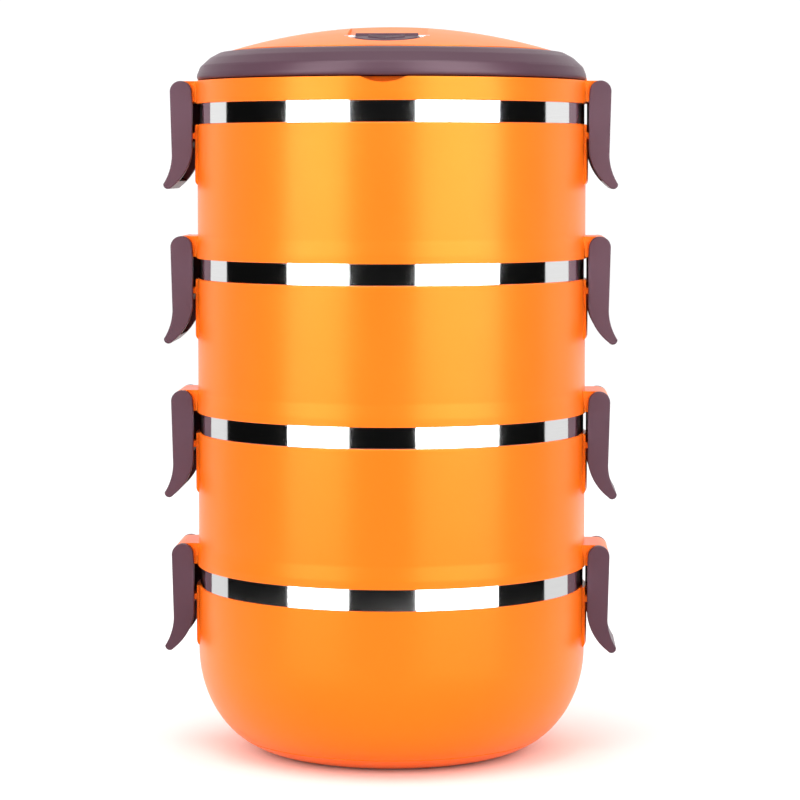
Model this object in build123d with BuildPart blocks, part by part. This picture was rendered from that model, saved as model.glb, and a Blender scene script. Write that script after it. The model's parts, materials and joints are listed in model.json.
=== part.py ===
"""A round four-tier tiffin carrier, in millimetres.

Every tier is a moulded outer cup holding a drawn steel bowl, whose rolled collar shows as a
bright band. The cup above, or the lid, plugs into that collar with a silicone seal and is held by
two latches, one at each side (+X and -X). The lid carries a half-ring handle round its front (-Y)
and a steam vent flap on its dome. The origin is the centre of the resting face, with +Z up.
"""

from build123d import *
from math import cos, radians, sin, sqrt
import os

os.makedirs("parts", exist_ok=True)

# Driving dimensions
wall_radius = 72.0  # outside of every cup's plain wall
skirt_radius = 72.6  # outside of the skirt at a cup's or the lid's lower edge
band_height = 7.7  # steel collar that shows between two cups
tier_pitch = 57.0
base_top = 61.4  # top of the lowest cup's outer wall
dome_top = 268.4  # highest point of the lid
wall_thickness = 2.4
steel_thickness = 0.6
latch_width = 30.0

# Heights worked out from them
first_skirt = base_top + band_height
skirt_heights = {f"tier_{n + 2}": first_skirt + n * tier_pitch for n in range(3)}
lid_skirt = first_skirt + 3 * tier_pitch
cup_height = tier_pitch - band_height  # from a cup's skirt edge to the top of its wall

# Joint between two tiers, measured from the edge of the skirt
skirt_lap = 1.0  # how far a skirt reaches down past the collar's top
seal_flange = 1.2  # thickness of the seal between collar and cup
seat_height = skirt_lap + seal_flange
lip_radius = 71.8  # inside of the skirt's lip
plug_radius = 66.4
plug_depth = 4.0
plug_inner_radius = 60.0
collar_radius = 71.5
mouth_radius = 68.9  # inside of the steel collar
bowl_radius = 67.0  # inside of the steel bowl
seal_radius = 68.6
neck_outer = collar_radius - steel_thickness - 0.05
neck_inner = mouth_radius + steel_thickness + 0.1
neck_height = band_height - 0.2
floor_height = 3.0  # top of a cup's plastic floor
bowl_floor = 4.6  # top of a steel bowl's floor

# Base bowl's rounded flank: a quarter ellipse standing on the resting face
flank_height = 38.0
flank_depth = 31.0
flank_centre = wall_radius - flank_depth

# Latches and their catches, in the latch's own (radius, height from skirt edge) frame
hinge_radius = 77.0
hinge_height = 4.3
ear_radius = 3.95
cheek_thickness = 2.6
plate_thickness = 2.6
pin_radius = 1.25
latch_pin_cover = 0.8  # plastic left over each end of a latch pin
running_gap = 0.05
lug_gap = 0.3  # side gap between the lug and each cheek
lug_width = latch_width - 2 * (cheek_thickness + lug_gap)
catch_radius = 72.9
catch_height = 23.0
ridge_radius = 74.0
ridge_low, ridge_high = -12.9, -10.5
nib_radius = ridge_radius + 0.3
nib_low, nib_high = -16.4, -13.3
catch_angle = 18.0

# Lid
dome_radius = 205.0
ledge_height = lid_skirt + 8.2  # shelf that the handle lies on
ledge_thickness = 3.2
turret_radius = 59.4  # wall inside the handle
handle_inner = 60.0
handle_outer = 72.2
handle_low = ledge_height + 0.4
handle_axis = handle_low + 5.3
handle_pin_radius = 2.0
handle_pin_reach = (55.5, 67.0)
pivot_gap = 0.4

# Steam vent, on a plane parallel to the dome's front slope
vent_distance = 40.0  # from the lid's axis
vent_depth = 3.2
vent_width = 28.4
flap_width = 22.4
flap_thickness = 2.4
vent_pin_radius = 0.8
vent_hole_radius = 2.4
vent_hole_forward = 5.5


def dome_height(radius, thickness=0.0):
    """Height of the dome, or of a surface `thickness` inside it, at a radius from the axis."""
    return dome_top - dome_radius + sqrt((dome_radius - thickness) ** 2 - radius**2)


def side_plane(height=0.0, angle=0.0):
    """Upright plane through the Z axis: its x runs outward at `angle`, its y runs up."""
    turn = radians(angle)
    return Plane(
        origin=(0, 0, height),
        x_dir=(cos(turn), sin(turn), 0),
        z_dir=(sin(turn), -cos(turn), 0),
    )


def rounded_outline(*corners):
    """Filled closed outline through (x, y, rounding radius) corners."""
    with BuildSketch() as outline:
        with BuildLine():
            FilletPolyline(
                *[(x, y) for x, y, _ in corners],
                radius=[rounding for _, _, rounding in corners],
                close=True,
            )
        make_face()
    return outline.sketch


def keep(builder, name):
    """Label a finished piece and write its STEP file."""
    builder.part.label = name
    export_step(builder.part, f"parts/{name}.step")


def lugs(skirt):
    """Hinge lugs for both sides of a skirt, drilled for the latch pins and hollow to the lip."""
    root = 68.0
    with BuildPart() as pair:
        with BuildSketch(side_plane(skirt)):
            with BuildLine():
                Polyline(
                    (hinge_radius, hinge_height + ear_radius),
                    (root, hinge_height + ear_radius),
                    (root, 0.6),
                    (skirt_radius, 0.6),
                    (hinge_radius, hinge_height - ear_radius),
                )
                ThreePointArc(
                    (hinge_radius, hinge_height - ear_radius),
                    (hinge_radius + ear_radius, hinge_height),
                    (hinge_radius, hinge_height + ear_radius),
                )
            make_face()
            with Locations((hinge_radius, hinge_height)):
                Circle(pin_radius + running_gap, mode=Mode.SUBTRACT)
        extrude(amount=lug_width / 2, both=True)
        for clear_radius, low, high in (
            (lip_radius + 0.2, 0, seat_height),
            (70.6, seat_height, 2 * ear_radius + hinge_height),
        ):
            with BuildSketch(Plane.XY.offset(skirt + low)):
                Circle(clear_radius)
            extrude(amount=high - low, mode=Mode.SUBTRACT)
        mirror(about=Plane.YZ)
    return pair.part


def catches(wall_top):
    """Raised pad with a catch ridge, for both sides below a collar."""
    with BuildPart() as pair:
        with BuildSketch(side_plane(wall_top, -catch_angle / 2)):
            add(
                rounded_outline(
                    (wall_radius - 1.5, 0, 0),
                    (catch_radius, 0, 0.5),
                    (catch_radius, ridge_high + band_height, 0.3),
                    (ridge_radius, ridge_high + band_height - 0.6, 0.5),
                    (ridge_radius, ridge_low + band_height, 0.2),
                    (catch_radius, ridge_low + band_height, 0.2),
                    (catch_radius, 1.5 - catch_height, 2.0),
                    (wall_radius - 1.5, -catch_height - 0.5, 0),
                )
            )
        revolve(axis=Axis.Z, revolution_arc=catch_angle)
        mirror(about=Plane.YZ)
    return pair.part


def tier_shell(skirt):
    """Outer cup of an upper tier: plug, floor, skirt, wall, neck, lugs and catches."""
    top = cup_height
    with BuildPart() as shell:
        with BuildSketch(side_plane(skirt)):
            add(
                rounded_outline(
                    (0, 0.5, 0),
                    (plug_inner_radius - 1.5, 0.5, 0.8),
                    (plug_inner_radius, -plug_depth, 0.6),
                    (plug_radius + 0.8, -plug_depth, 0.5),
                    (plug_radius + 0.8, 0.8 - plug_depth, 0.2),
                    (plug_radius, 0.8 - plug_depth, 0),
                    (plug_radius, seat_height, 0),
                    (lip_radius, seat_height, 0),
                    (lip_radius, 0, 0.2),
                    (skirt_radius, 0, 0.3),
                    (skirt_radius, 3.0, 6),
                    (wall_radius, 8.0, 6),
                    (wall_radius, top, 0.5),
                    (neck_outer, top, 0.2),
                    (neck_outer, top + neck_height, 0.4),
                    (neck_inner, top + neck_height, 0.3),
                    (neck_inner, floor_height, 3),
                    (0, floor_height, 0),
                )
            )
        revolve(axis=Axis.Z)
        add(lugs(skirt))
        add(catches(skirt + top))
    return shell


def steel_bowl(floor, wall_top):
    """Drawn bowl of an upper tier with a straight wall, and a rolled collar round its mouth."""
    sheet = steel_thickness
    collar_top = band_height + skirt_lap
    bottom = floor - wall_top
    with BuildPart() as bowl:
        with BuildSketch(side_plane(wall_top)):
            add(
                rounded_outline(
                    (0, bottom, 0),
                    (bowl_radius, bottom, 12),
                    (bowl_radius, -3.9, 1.5),
                    (mouth_radius, -2.0, 1.5),
                    (mouth_radius, collar_top, 0.9),
                    (collar_radius, collar_top, 1.1),
                    (collar_radius, 0.1, 0.1),
                    (collar_radius - sheet, 0.1, 0),
                    (collar_radius - sheet, collar_top - sheet, 0.5),
                    (mouth_radius + sheet, collar_top - sheet, 0.3),
                    (mouth_radius + sheet, -2.25, 1.5),
                    (bowl_radius + sheet, -4.15, 1.5),
                    (bowl_radius + sheet, bottom - sheet, 12.6),
                    (0, bottom - sheet, 0),
                )
            )
        revolve(axis=Axis.Z)
    return bowl


def seal_ring(skirt):
    """Silicone ring: a flange over the collar's top and two lips against its inside."""
    inner = plug_radius + 0.05
    root = plug_radius + 1.4
    with BuildPart() as seal:
        with BuildSketch(side_plane(skirt)):
            add(
                rounded_outline(
                    (inner, 0.85 - plug_depth, 0),
                    (root, 0.85 - plug_depth, 0.3),
                    (root, -2.4, 0.2),
                    (seal_radius, -2.0, 0.3),
                    (root, -1.3, 0.2),
                    (root, -0.9, 0.2),
                    (seal_radius, -0.5, 0.3),
                    (root, 0.2, 0.2),
                    (root, skirt_lap, 0.3),
                    (lip_radius - 0.4, skirt_lap, 0.3),
                    (lip_radius - 0.4, seat_height, 0.2),
                    (inner, seat_height, 0),
                )
            )
        revolve(axis=Axis.Z)
    return seal


def latch(skirt, side):
    """Clip with two hinge ears, side cheeks, an outer plate, a thumb tab and a hook bar."""
    plane = side_plane(skirt)
    outer_top = (hinge_radius + ear_radius, hinge_height)
    outer_bend = (80.3, -19.0)
    inner_top = (hinge_radius - ear_radius, hinge_height)
    inner_bend = (72.8, -17.8)
    tip_outer = (83.5, -29.6)
    tip_inner = (80.4, -30.7)
    with BuildPart() as clip:
        with BuildSketch(plane):
            with BuildLine():
                Line(outer_top, outer_bend)
                ThreePointArc(outer_bend, (81.25, -24.8), tip_outer)
                ThreePointArc(tip_outer, (82.9, -31.0), tip_inner)
                ThreePointArc(tip_inner, (75.9, -25.9), inner_bend)
                Line(inner_bend, (72.8, 0.5))
                Line((72.8, 0.5), inner_top)
                ThreePointArc(inner_top, (hinge_radius, hinge_height + ear_radius), outer_top)
            make_face()
        extrude(amount=latch_width / 2, both=True)
        with BuildSketch(plane):
            with BuildLine():
                plate_top = (outer_top[0] - plate_thickness, hinge_height + 9)
                plate_bend = (outer_bend[0] - plate_thickness, outer_bend[1])
                tab_root = (80.2, -27.6)
                Line(plate_top, plate_bend)
                ThreePointArc(plate_bend, (78.45, -23.6), tab_root)
                Polyline(tab_root, (66.0, -34.0), (66.0, hinge_height + 9), plate_top)
            make_face()
        extrude(amount=latch_width / 2 - cheek_thickness, both=True, mode=Mode.SUBTRACT)
        with BuildSketch(plane):
            with Locations((hinge_radius, hinge_height)):
                Circle(ear_radius + 0.55)
            with Locations((hinge_radius + 5, hinge_height + 3)):
                Rectangle(10, 6.6)
        extrude(amount=latch_width / 2 - cheek_thickness, both=True, mode=Mode.SUBTRACT)
        with BuildSketch(plane):
            add(
                rounded_outline(
                    (78.6, nib_low - 1.5, 0),
                    (78.6, nib_high + 0.8, 0),
                    (nib_radius + 1.2, nib_high, 0.4),
                    (nib_radius, nib_high - 0.5, 0.4),
                    (nib_radius, nib_low + 0.8, 0.5),
                    (nib_radius + 1.0, nib_low, 0.5),
                )
            )
        extrude(amount=latch_width / 2 - cheek_thickness + 0.5, both=True)
        with BuildSketch(plane):
            with Locations((hinge_radius, hinge_height)):
                Circle(pin_radius + running_gap)
        extrude(amount=latch_width / 2 - latch_pin_cover, both=True, mode=Mode.SUBTRACT)
        if side < 0:
            mirror(about=Plane.YZ, mode=Mode.REPLACE)
    return clip


def latch_pin(skirt, side):
    """Steel hinge pin of a latch, hidden in blind holes in the latch's cheeks."""
    with BuildPart() as pin:
        with BuildSketch(side_plane(skirt)):
            with Locations((side * hinge_radius, hinge_height)):
                Circle(pin_radius)
        extrude(amount=latch_width / 2 - latch_pin_cover - 0.2, both=True)
        chamfer(pin.edges(), 0.25)
    return pin


def add_latches(owner, skirt):
    """Both latches and both pins of a tier or of the lid."""
    for side_name, side in (("right", 1), ("left", -1)):
        keep(latch(skirt, side), f"{owner}_latch_{side_name}")
        keep(latch_pin(skirt, side), f"{owner}_latch_pin_{side_name}")


# Base cup: a rounded bowl on a flat foot, with a fine groove where the foot begins
def flank(inset):
    """Quarter ellipse of the base's rounded flank, moved inward by `inset`."""
    EllipticalCenterArc(
        (flank_centre, flank_height),
        flank_depth - inset,
        flank_height - inset,
        start_angle=270,
        arc_size=90,
    )


foot_recess_radius = 33.0
groove_height = 5.6
groove_radius = flank_centre + flank_depth * sqrt(1 - (1 - groove_height / flank_height) ** 2)

with BuildPart() as base_shell:
    with BuildSketch(side_plane()):
        with BuildLine():
            flank(0)
            Polyline(
                (wall_radius, flank_height),
                (wall_radius, base_top),
                (neck_outer, base_top),
                (neck_outer, base_top + neck_height),
                (neck_inner, base_top + neck_height),
                (neck_inner, flank_height),
            )
            flank(wall_thickness)
            Polyline(
                (flank_centre, wall_thickness),
                (0, wall_thickness + 1.0),
                (0, 1.2),
                (foot_recess_radius, 1.2),
                (foot_recess_radius + 1.2, 0),
                (flank_centre, 0),
            )
        make_face()
    revolve(axis=Axis.Z)
    with BuildSketch(side_plane()):
        with Locations((groove_radius, groove_height)):
            Circle(0.35)
    revolve(axis=Axis.Z, mode=Mode.SUBTRACT)
    add(catches(base_top))
keep(base_shell, "base_shell")

bowl_gap = wall_radius - bowl_radius  # from the outside of the cup to the inside of the bowl
collar_top = base_top + band_height + skirt_lap
with BuildPart() as base_bowl:
    with BuildSketch(side_plane()):
        with BuildLine():
            flank(bowl_gap)
            Polyline(
                (bowl_radius, flank_height),
                (bowl_radius, base_top - 3.9),
                (mouth_radius, base_top - 2.0),
                (mouth_radius, collar_top - 0.9),
            )
            ThreePointArc(
                (mouth_radius, collar_top - 0.9),
                (mouth_radius + 0.26, collar_top - 0.26),
                (mouth_radius + 0.9, collar_top),
            )
            Line((mouth_radius + 0.9, collar_top), (collar_radius - 1.1, collar_top))
            ThreePointArc(
                (collar_radius - 1.1, collar_top),
                (collar_radius - 0.32, collar_top - 0.32),
                (collar_radius, collar_top - 1.1),
            )
            Polyline(
                (collar_radius, collar_top - 1.1),
                (collar_radius, base_top + 0.1),
                (collar_radius - steel_thickness, base_top + 0.1),
                (collar_radius - steel_thickness, collar_top - steel_thickness),
                (mouth_radius + steel_thickness, collar_top - steel_thickness),
                (mouth_radius + steel_thickness, base_top - 2.25),
                (bowl_radius + steel_thickness, base_top - 4.15),
                (bowl_radius + steel_thickness, flank_height),
            )
            flank(bowl_gap - steel_thickness)
            Polyline(
                (flank_centre, bowl_gap - steel_thickness),
                (0, bowl_gap - steel_thickness),
                (0, bowl_gap),
                (flank_centre, bowl_gap),
            )
        make_face()
    revolve(axis=Axis.Z)
keep(base_bowl, "base_steel_bowl")

# Upper tiers
for tier, skirt in skirt_heights.items():
    keep(tier_shell(skirt), f"{tier}_shell")
    keep(steel_bowl(skirt + bowl_floor, skirt + cup_height), f"{tier}_steel_bowl")
    keep(seal_ring(skirt), f"{tier}_seal")
    add_latches(tier, skirt)

# Lid cover: skirt, handle ledge, turret and dome, with the vent recess sunk in the front slope
shoulder = (
    (72.3, 251.0, 1.6),
    (70.9, 253.6, 2.5),
    (67.3, 256.9, 4),
    (63.6, 258.9, 4),
)
vent_slope = vent_distance / dome_radius
vent_plane = Plane(
    origin=(0, -vent_distance, dome_height(vent_distance) - vent_depth),
    x_dir=(1, 0, 0),
    z_dir=(0, -vent_slope, sqrt(1 - vent_slope**2)),
)
ledge_low = ledge_height - ledge_thickness
vent_hinge_local = (-0.6, 1.9)  # back from the vent plane's origin, and above it
vent_hinge_point = vent_plane.from_local_coords((0, *vent_hinge_local))
vent_hinge = (vent_hinge_point.Y, vent_hinge_point.Z)
vent_pin_length = vent_width + 2.6


def vent_outline(back, extra=0.0):
    """Rounded slot of the vent recess, from its round front end to `back` on the vent plane."""
    front = 1.0 - vent_width / 2
    with Locations((0, (front + back) / 2)):
        SlotOverall(back - front + 2 * extra, vent_width + 2 * extra, rotation=90)


with BuildPart() as lid_cover:
    with BuildSketch(side_plane()):
        with BuildLine():
            dome_edge = (handle_inner, dome_height(handle_inner))
            FilletPolyline(
                (lip_radius, lid_skirt),
                (skirt_radius, lid_skirt),
                (skirt_radius, ledge_height),
                *[(r, z) for r, z, _ in shoulder],
                dome_edge,
                radius=[0.3, 1.2, *[rounding for _, _, rounding in shoulder]],
            )
            ThreePointArc(dome_edge, (30, dome_height(30)), (0, dome_top))
            inner_edge = (turret_radius - wall_thickness, 0)
            turret_top = dome_height(inner_edge[0], wall_thickness)
            Line((0, dome_top), (0, dome_top - wall_thickness))
            ThreePointArc(
                (0, dome_top - wall_thickness),
                (30, dome_height(30, wall_thickness)),
                (inner_edge[0], turret_top),
            )
            Polyline(
                (inner_edge[0], turret_top),
                (inner_edge[0], ledge_low),
                (70.2, ledge_low),
                (70.2, lid_skirt + seat_height),
                (lip_radius, lid_skirt + seat_height),
                (lip_radius, lid_skirt),
            )
        make_face()
    revolve(axis=Axis.Z)
    # Hollow under the solid-looking shoulder at the back
    with BuildSketch(side_plane(0, 18)):
        add(
            rounded_outline(
                (turret_radius + 0.4, ledge_low - 1, 0),
                (69.9, ledge_low - 1, 0),
                (69.9, 250.6, 2),
                (65.5, 254.6, 3),
                (turret_radius + 0.4, 256.4, 1),
            )
        )
    revolve(axis=Axis.Z, revolution_arc=144, mode=Mode.SUBTRACT)
    # Ledge round the front, and the pockets where the handle's ends turn
    with BuildSketch(side_plane(0, 180)):
        with Locations(((turret_radius + 80) / 2, (ledge_height + 270) / 2)):
            Rectangle(80 - turret_radius, 270 - ledge_height)
    revolve(axis=Axis.Z, revolution_arc=180, mode=Mode.SUBTRACT)
    pocket_radius = 5.3 + pivot_gap
    for side in (1, -1):
        with BuildSketch(Plane.YZ.offset(side * turret_radius)):
            with Locations((0, handle_axis)):
                Circle(pocket_radius)
            with Locations((0, handle_axis + 10)):
                Rectangle(2 * pocket_radius, 20)
        extrude(amount=side * 20, mode=Mode.SUBTRACT)
        with BuildSketch(Plane.YZ.offset(side * (turret_radius - 0.2))):
            with Locations((0, handle_axis)):
                Circle(4.2)
        extrude(amount=-side * 5.0)
        with BuildSketch(Plane.YZ.offset(side * (handle_pin_reach[0] - 0.2))):
            with Locations((0, handle_axis)):
                Circle(handle_pin_radius + running_gap)
        extrude(amount=side * 20, mode=Mode.SUBTRACT)
    add(lugs(lid_skirt))
    # Finger scoop in the front edge of the ledge
    with BuildSketch(Plane.XZ.offset(66.5)):
        with Locations((0, ledge_height + 15.0)):
            Circle(17.0)
    extrude(amount=10, mode=Mode.SUBTRACT)
    # Vent tub under the dome, then the recess and the steam hole
    with BuildSketch(vent_plane.offset(-2.0)):
        vent_outline(28.0, 2.0)
    extrude(amount=2.9)
    with BuildSketch(vent_plane):
        vent_outline(50.0)
    extrude(amount=20, mode=Mode.SUBTRACT)
    with BuildSketch(Plane.YZ):
        with Locations(vent_hinge):
            Circle(vent_pin_radius + running_gap)
    extrude(amount=vent_pin_length / 2, both=True, mode=Mode.SUBTRACT)
    with BuildSketch(vent_plane):
        with Locations((0, -vent_hole_forward)):
            Circle(vent_hole_radius)
    extrude(amount=-10, mode=Mode.SUBTRACT)
keep(lid_cover, "lid_cover")

# Inner plate of the lid, with the plug that fits the top tier and a steam passage
passage_distance = vent_distance + vent_hole_forward
with BuildPart() as lid_liner:
    with BuildSketch(side_plane(lid_skirt)):
        add(
            rounded_outline(
                (0, 2.0, 0),
                (plug_inner_radius - 1.5, 2.0, 0.8),
                (plug_inner_radius, -plug_depth, 0.6),
                (plug_radius + 0.8, -plug_depth, 0.5),
                (plug_radius + 0.8, 0.8 - plug_depth, 0.2),
                (plug_radius, 0.8 - plug_depth, 0),
                (plug_radius, seat_height, 0),
                (70.1, seat_height, 0),
                (70.1, ledge_low - lid_skirt, 0),
                (67.0, ledge_low - lid_skirt, 0.4),
                (66.0, 4.0, 1.0),
                (0, 4.0, 0),
            )
        )
    revolve(axis=Axis.Z)
    with BuildSketch(Plane.XY.offset(lid_skirt)):
        with Locations((0, -passage_distance)):
            Circle(2.0)
    extrude(amount=10, mode=Mode.SUBTRACT)
keep(lid_liner, "lid_liner")
keep(seal_ring(lid_skirt), "lid_seal")
add_latches("lid", lid_skirt)

# Handle: half a ring round the front, hollow underneath with ribs, and a round boss at each end
rib_angles = range(15, 180, 15)


def handle_section(inset=0.0):
    """Section of the handle; an inset one is the hollow, open at the bottom."""
    low = handle_low - (2.0 if inset else 0.0)
    rounding = 0.2 if inset else 0.9
    return rounded_outline(
        (handle_inner + inset, low, rounding),
        (handle_outer - 0.5 - inset, low, rounding),
        (handle_outer - inset, handle_low + 1.2, 1.2),
        (72.0 - inset, 250.9, 1.6),
        (70.9 - inset, 253.6 - inset / 2, 2.5),
        (67.3 - inset / 2, 256.9 - inset, 3.5),
        (63.6, 258.9 - inset, 3.5),
        (handle_inner + inset, 259.3 - inset, rounding),
    )


with BuildPart() as end_boss:
    with BuildSketch(Plane.XZ):
        add(handle_section())
    extrude(amount=-5.3)
    with BuildSketch(Plane.YZ):
        with Locations((0, handle_axis)):
            Circle(5.3)
    extrude(amount=80, mode=Mode.INTERSECT)

with BuildPart() as carry_handle:
    with BuildSketch(side_plane(0, 180)):
        add(handle_section())
    revolve(axis=Axis.Z, revolution_arc=180)
    with BuildSketch(side_plane(0, 190)):
        add(handle_section(2.4))
    revolve(axis=Axis.Z, revolution_arc=160, mode=Mode.SUBTRACT)
    for angle in rib_angles:
        with BuildSketch(side_plane(0, 180 + angle)):
            with Locations((65.6, handle_low + 3.2)):
                Rectangle(8.4, 4.4)
        extrude(amount=0.6, both=True)
    for side in (1, -1):
        add(end_boss.part if side > 0 else end_boss.part.mirror(Plane.YZ))
        with BuildSketch(Plane.YZ):
            with Locations((0, handle_axis)):
                Circle(handle_pin_radius + running_gap)
        extrude(amount=side * (handle_pin_reach[1] + 0.3), mode=Mode.SUBTRACT)
keep(carry_handle, "carry_handle")

for side_name, side in (("right", 1), ("left", -1)):
    with BuildPart() as handle_pin:
        with BuildSketch(Plane.YZ.offset(side * handle_pin_reach[0])):
            with Locations((0, handle_axis)):
                Circle(handle_pin_radius)
        extrude(amount=side * (handle_pin_reach[1] - handle_pin_reach[0]))
        chamfer(handle_pin.edges(), 0.3)
    keep(handle_pin, f"handle_pin_{side_name}")

# Vent flap in the front of its recess: a plate with a barrel at its back edge and grip chevrons
flap_lift = 0.35  # air between the flap and the recess's floor
flap_plane = vent_plane.offset(flap_lift)
chevron_reach = 3.6
with BuildPart() as vent_flap:
    with BuildSketch(flap_plane):
        with BuildLine():
            half = flap_width / 2
            Polyline((-half, -5.6), (-half, -0.8), (half, -0.8), (half, -5.6))
            ThreePointArc((half, -5.6), (0, -12.1), (-half, -5.6))
        make_face()
    extrude(amount=flap_thickness)
    upper = vent_flap.faces().sort_by(vent_plane.location.z_axis)[-1]
    fillet(upper.edges(), 0.5)
    with BuildSketch(Plane.YZ):
        with Locations(vent_hinge):
            Circle(1.5)
    extrude(amount=flap_width / 2, both=True)
    for row in range(2):
        with BuildSketch(flap_plane.offset(flap_thickness - 0.2)):
            with BuildLine():
                tip = -9.6 + 2.6 * row
                Polyline(
                    (0, tip),
                    (6.5, tip + chevron_reach),
                    (6.5, tip + chevron_reach + 1.1),
                    (0, tip + 1.1),
                    (-6.5, tip + chevron_reach + 1.1),
                    (-6.5, tip + chevron_reach),
                    (0, tip),
                )
            make_face()
        extrude(amount=0.6)
    with BuildSketch(Plane.YZ):
        with Locations(vent_hinge):
            Circle(vent_pin_radius + running_gap)
    extrude(amount=flap_width, both=True, mode=Mode.SUBTRACT)
keep(vent_flap, "vent_flap")

with BuildPart() as vent_pin:
    with BuildSketch(Plane.YZ):
        with Locations(vent_hinge):
            Circle(vent_pin_radius)
    extrude(amount=vent_pin_length / 2 - 0.2, both=True)
keep(vent_pin, "vent_pin")

# Soft plug under the flap that closes the steam hole
with BuildPart() as vent_plug:
    with BuildSketch(flap_plane):
        with Locations((0, -vent_hole_forward)):
            Circle(vent_hole_radius - 0.4)
    extrude(amount=-flap_lift - 0.5)
    chamfer(vent_plug.faces().sort_by(vent_plane.location.z_axis)[0].edges(), 0.3)
keep(vent_plug, "vent_plug")
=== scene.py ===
"""A round four-tier tiffin carrier on a pale floor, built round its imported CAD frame."""

import json
from math import cos, pi, radians, sin

import bpy
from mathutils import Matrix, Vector

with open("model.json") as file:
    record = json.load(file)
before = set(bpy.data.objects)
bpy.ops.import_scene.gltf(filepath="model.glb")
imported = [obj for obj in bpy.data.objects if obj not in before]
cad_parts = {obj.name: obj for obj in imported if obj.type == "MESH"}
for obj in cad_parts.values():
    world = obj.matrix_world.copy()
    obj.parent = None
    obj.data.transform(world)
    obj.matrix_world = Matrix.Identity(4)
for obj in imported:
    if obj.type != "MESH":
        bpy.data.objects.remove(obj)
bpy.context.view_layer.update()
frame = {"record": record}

# Where the camera stands: level with the top tier, and turned a little to the right
view_turn = radians(2.3)
camera_distance = 1.066
camera_height = 0.2176
camera_pitch = radians(3.2)
camera_shift = (0.0105, -0.094)
lens_mm, sensor_mm = 128.8, 36.0

# Upright cards all round the object, which only its reflections show
CARD_RADIUS, CARD_FOOT, CARD_TOP = 0.4, 0.002, 1.5
CARD_STEP = 4.0  # degrees of arc in one flat facet
CARD_GLOW_TOP = 0.22  # height at which a card reaches its full brightness

FLOOR_REACH = 6.0
LAMP_AIM_HEIGHT = 0.14
GRAIN_DEPTH = 0.00006
TURNED_DEPTH = 0.00002
PLASTIC_IOR = 1.5
MOTTLE = 0.02  # how far the roughness of the plastic drifts either way


def around(azimuth, radius, height):
    """A point round the object: azimuth 0 is towards the camera, positive to its right."""
    angle = view_turn + azimuth
    return Vector((radius * sin(angle), -radius * cos(angle), height))


# ---------------------------------------------------------------- materials


def new_material(name):
    """A node material and its Principled shader."""
    material = bpy.data.materials.new(name)
    material.use_nodes = True
    shader = material.node_tree.nodes["Principled BSDF"]
    return material, shader


def node(material, kind, **settings):
    """A shader node with its settings and default inputs."""
    made = material.node_tree.nodes.new(kind)
    for key, value in settings.items():
        if hasattr(made, key):
            setattr(made, key, value)
        else:
            made.inputs[key.replace("_", " ")].default_value = value
    return made


def link(material, source, output, target, entry):
    material.node_tree.links.new(source.outputs[output], target.inputs[entry])


def ramp(material, source, output, stops):
    """A colour ramp fed by a node's output; stops are (position, colour)."""
    made = material.node_tree.nodes.new("ShaderNodeValToRGB")
    elements = made.color_ramp.elements
    while len(elements) < len(stops):
        elements.new(0.5)
    for element, (position, colour) in zip(elements, stops):
        element.position = position
        element.color = (*colour, 1.0)
    link(material, source, output, made, "Fac")
    return made


def grey(value):
    return (value, value, value)


def moulded_plastic(name, colour, gloss_tint, gloss, roughness, grain, depth, edge_radius):
    """Injection-moulded plastic: faint colour drift, satin mottling and a spark-eroded grain."""
    material, shader = new_material(name)
    place = node(material, "ShaderNodeTexCoord")
    drift = node(material, "ShaderNodeTexNoise", Scale=14.0, Detail=3.0, Roughness=0.5)
    link(material, place, "Object", drift, "Vector")
    darker = tuple(c * (1 - depth) for c in colour)
    lighter = tuple(min(1.0, c * (1 + depth)) for c in colour)
    tint = ramp(material, drift, "Fac", ((0.35, darker), (0.65, lighter)))
    link(material, tint, "Color", shader, "Base Color")
    mottle = node(material, "ShaderNodeTexNoise", Scale=90.0, Detail=4.0, Roughness=0.6)
    link(material, place, "Object", mottle, "Vector")
    smoother, rougher = grey(roughness - MOTTLE), grey(roughness + MOTTLE)
    rough = ramp(material, mottle, "Fac", ((0.3, smoother), (0.7, rougher)))
    link(material, rough, "Color", shader, "Roughness")
    fine = node(material, "ShaderNodeTexNoise", Scale=2600.0, Detail=2.0, Roughness=0.6)
    link(material, place, "Object", fine, "Vector")
    bump = node(material, "ShaderNodeBump", Strength=grain, Distance=GRAIN_DEPTH)
    link(material, fine, "Fac", bump, "Height")
    if edge_radius:  # softens the light on sharp edges
        worn_edge = node(material, "ShaderNodeBevel", samples=6, Radius=edge_radius)
        link(material, worn_edge, "Normal", bump, "Normal")
    link(material, bump, "Normal", shader, "Normal")
    shader.inputs["IOR"].default_value = PLASTIC_IOR
    shader.inputs["Specular Tint"].default_value = (*gloss_tint, 1.0)
    shader.inputs["Specular IOR Level"].default_value = gloss
    return material


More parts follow.
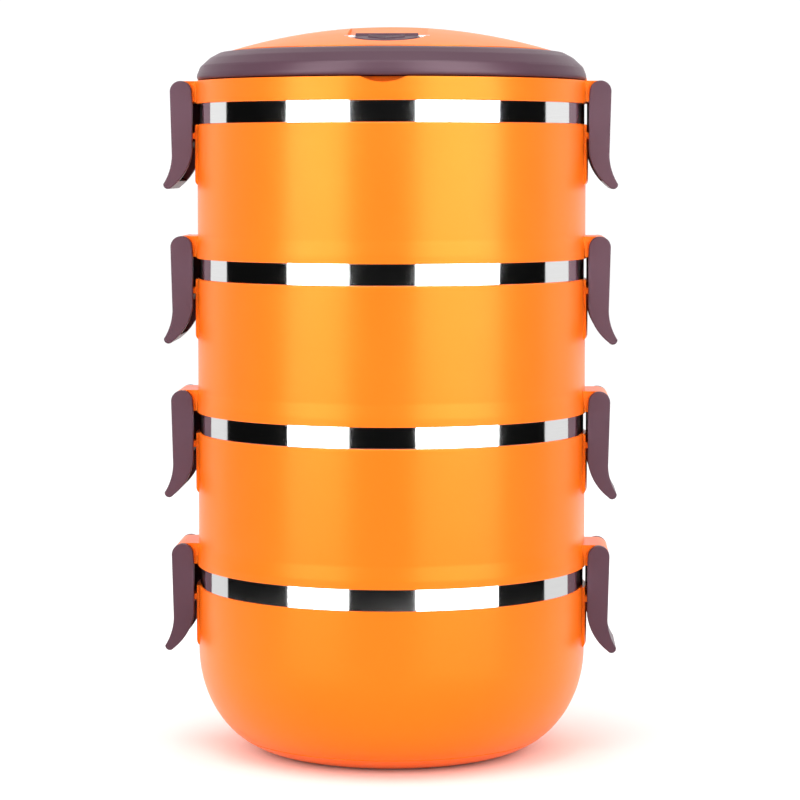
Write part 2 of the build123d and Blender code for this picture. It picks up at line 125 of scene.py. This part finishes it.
def polished_steel(name):
    """Mirror-polished sheet with faint turned lines round the bowl and patches of haze."""
    material, shader = new_material(name)
    place = node(material, "ShaderNodeTexCoord")
    stretch = node(material, "ShaderNodeMapping")
    stretch.inputs["Scale"].default_value = (0.4, 0.4, 60.0)
    link(material, place, "Object", stretch, "Vector")
    turned = node(material, "ShaderNodeTexNoise", Scale=120.0, Detail=3.0, Roughness=0.7)
    link(material, stretch, "Vector", turned, "Vector")
    haze = node(material, "ShaderNodeTexNoise", Scale=25.0, Detail=4.0, Roughness=0.6)
    link(material, place, "Object", haze, "Vector")
    rough = ramp(material, haze, "Fac", ((0.4, grey(0.05)), (0.75, grey(0.09))))
    link(material, rough, "Color", shader, "Roughness")
    tone = ramp(material, turned, "Fac", ((0.3, grey(0.86)), (0.7, grey(0.92))))
    link(material, tone, "Color", shader, "Base Color")
    bump = node(material, "ShaderNodeBump", Strength=0.02, Distance=TURNED_DEPTH)
    link(material, turned, "Fac", bump, "Height")
    link(material, bump, "Normal", shader, "Normal")
    shader.inputs["Metallic"].default_value = 1.0
    return material


def drawn_wire(name):
    """Hinge wire: dull drawn steel with a fine uneven surface."""
    material, shader = new_material(name)
    place = node(material, "ShaderNodeTexCoord")
    lines = node(material, "ShaderNodeTexNoise", Scale=900.0, Detail=3.0, Roughness=0.6)
    link(material, place, "Object", lines, "Vector")
    tone = ramp(material, lines, "Fac", ((0.3, grey(0.5)), (0.7, grey(0.66))))
    link(material, tone, "Color", shader, "Base Color")
    rough = ramp(material, lines, "Fac", ((0.3, grey(0.25)), (0.7, grey(0.38))))
    link(material, rough, "Color", shader, "Roughness")
    shader.inputs["Metallic"].default_value = 1.0
    return material


def silicone(name):
    """Milky silicone with a slightly dusty surface."""
    material, shader = new_material(name)
    place = node(material, "ShaderNodeTexCoord")
    cloud = node(material, "ShaderNodeTexNoise", Scale=60.0, Detail=4.0, Roughness=0.6)
    link(material, place, "Object", cloud, "Vector")
    tone = ramp(material, cloud, "Fac", ((0.3, (0.78, 0.78, 0.75)), (0.7, (0.88, 0.88, 0.86))))
    link(material, tone, "Color", shader, "Base Color")
    rough = ramp(material, cloud, "Fac", ((0.3, grey(0.5)), (0.7, grey(0.62))))
    link(material, rough, "Color", shader, "Roughness")
    shader.inputs["Subsurface Weight"].default_value = 0.3
    shader.inputs["Subsurface Scale"].default_value = 0.003
    return material


orange = moulded_plastic(
    "orange_polypropylene",
    colour=(1.0, 0.155, 0.004),
    gloss_tint=(1.0, 0.95, 0.24),
    gloss=0.5,
    roughness=0.34,
    grain=0.1,
    depth=0.012,
    edge_radius=0.0,
)
mauve = moulded_plastic(
    "mauve_plastic",
    colour=(0.078, 0.038, 0.055),
    gloss_tint=(1.0, 1.0, 1.0),
    gloss=0.14,
    roughness=0.36,
    grain=0.25,
    depth=0.08,
    edge_radius=0.0006,
)
steel = polished_steel("polished_stainless_steel")
wire = drawn_wire("drawn_steel_wire")
rubber = silicone("milky_silicone")

FINISHES = {
    "orange_shell": orange,
    "liner": orange,
    "mauve_trim": mauve,
    "polished_steel": steel,
    "pin_steel": wire,
    "silicone": rubber,
}

# ---------------------------------------------------------------- CAD nodes


def finish_node(name, slot):
    """Give a CAD node its material."""
    materials = bpy.data.objects[name].data.materials
    materials.clear()
    materials.append(FINISHES[slot])


for row in frame["record"]["subparts"]:
    finish_node(row["node"], row["material_slot"])

# ---------------------------------------------------------------- floor, light and camera


def stage_sheet(name, corners, material):
    """A flat four-cornered sheet that stands in for the studio."""
    mesh = bpy.data.meshes.new(name)
    mesh.from_pydata([tuple(c) for c in corners], [], [(0, 1, 2, 3)])
    sheet = bpy.data.objects.new(name, mesh)
    bpy.context.scene.collection.objects.link(sheet)
    mesh.materials.append(material)


def floor_material():
    """Matt white paper with a barely visible cloudiness."""
    material, shader = new_material("pale_floor")
    place = node(material, "ShaderNodeTexCoord")
    cloud = node(material, "ShaderNodeTexNoise", Scale=3.0, Detail=2.0)
    link(material, place, "Object", cloud, "Vector")
    tone = ramp(material, cloud, "Fac", ((0.3, grey(0.95)), (0.7, grey(0.97))))
    link(material, tone, "Color", shader, "Base Color")
    shader.inputs["Roughness"].default_value = 0.9
    shader.inputs["Specular IOR Level"].default_value = 0.0
    return material


def glowing(name, strength_low, strength_high):
    """The surface of a reflector card, which may grow brighter with height."""
    material = bpy.data.materials.new(name)
    material.use_nodes = True
    tree = material.node_tree
    tree.nodes.clear()
    place = node(material, "ShaderNodeTexCoord")
    split = node(material, "ShaderNodeSeparateXYZ")
    link(material, place, "Object", split, "Vector")
    rise = node(material, "ShaderNodeMapRange")
    rise.inputs["From Min"].default_value = 0.0
    rise.inputs["From Max"].default_value = CARD_GLOW_TOP
    rise.inputs["To Min"].default_value = strength_low
    rise.inputs["To Max"].default_value = strength_high
    link(material, split, "Z", rise, "Value")
    glow = node(material, "ShaderNodeEmission")
    link(material, rise, "Result", glow, "Strength")
    out = node(material, "ShaderNodeOutputMaterial")
    link(material, glow, "Emission", out, "Surface")
    return material


def reflector(name, start, end, material):
    """An upright curved card round the object, from one azimuth to another, in degrees."""
    count = max(2, round(abs(end - start) / CARD_STEP))
    rails = [radians(start + (end - start) * i / count) for i in range(count + 1)]
    points = [around(rail, CARD_RADIUS, z) for rail in rails for z in (CARD_FOOT, CARD_TOP)]
    faces = [(2 * i, 2 * i + 2, 2 * i + 3, 2 * i + 1) for i in range(count)]
    mesh = bpy.data.meshes.new(name)
    mesh.from_pydata([tuple(point) for point in points], [], faces)
    mesh.materials.append(material)
    card = bpy.data.objects.new(name, mesh)
    bpy.context.scene.collection.objects.link(card)
    card.visible_camera = False
    card.visible_diffuse = False
    card.visible_shadow = False
    card.visible_transmission = False


corner_signs = ((-1, -1), (1, -1), (1, 1), (-1, 1))
floor_corners = [(x * FLOOR_REACH, y * FLOOR_REACH, 0) for x, y in corner_signs]
stage_sheet("floor", floor_corners, floor_material())

bright = glowing("bright_card", 4.0, 13.0)
pale = glowing("pale_card", 0.76, 0.9)
dark = glowing("dark_card", 0.004, 0.004)
for name, start, end, card_material in (
    ("card_front", -23, 13, dark),
    ("card_right", 13, 60, bright),
    ("card_right_gap", 60, 95, dark),
    ("card_right_rear", 95, 128, pale),
    ("card_left", -58, -23, bright),
    ("card_left_gap", -106, -58, dark),
    ("card_left_rear", -143, -106, pale),
):
    reflector(name, start, end, card_material)


def area_light(name, azimuth, distance, height, width, tall, power):
    """A soft light at an azimuth in degrees, aimed at the object, that reflections don't show."""
    data = bpy.data.lights.new(name, "AREA")
    data.shape = "RECTANGLE"
    data.size, data.size_y = width, tall
    data.energy = power
    lamp = bpy.data.objects.new(name, data)
    lamp.location = around(radians(azimuth), distance, height)
    aim = Vector((0, 0, LAMP_AIM_HEIGHT)) - lamp.location
    lamp.rotation_euler = aim.to_track_quat("-Z", "Y").to_euler()
    bpy.context.scene.collection.objects.link(lamp)
    lamp.visible_glossy = False


area_light("softbox_left", -40, 1.3, 0.5, 0.6, 0.9, 3.0)
area_light("softbox_right", 40, 1.3, 0.5, 0.6, 0.9, 2.5)
area_light("rim_left", -112, 1.2, 0.4, 0.6, 0.9, 3.0)
area_light("rim_right", 112, 1.2, 0.4, 0.6, 0.9, 3.5)
area_light("overhead", -30, 0.3, 1.2, 0.7, 0.7, 3.5)

world = bpy.data.worlds.new("studio")
bpy.context.scene.world = world
world.use_nodes = True
backdrop = world.node_tree.nodes["Background"]
backdrop.inputs["Color"].default_value = (1, 1, 1, 1)
backdrop.inputs["Strength"].default_value = 1.07
bpy.context.scene.view_settings.view_transform = "Standard"

camera_data = bpy.data.cameras.new("camera")
camera_data.lens = lens_mm
camera_data.sensor_width = sensor_mm
camera_data.shift_x, camera_data.shift_y = camera_shift
camera = bpy.data.objects.new("camera", camera_data)
camera.location = around(0, camera_distance, camera_height)
camera.rotation_euler = (pi / 2 - camera_pitch, 0, view_turn)
bpy.context.scene.collection.objects.link(camera)
bpy.context.scene.camera = camera
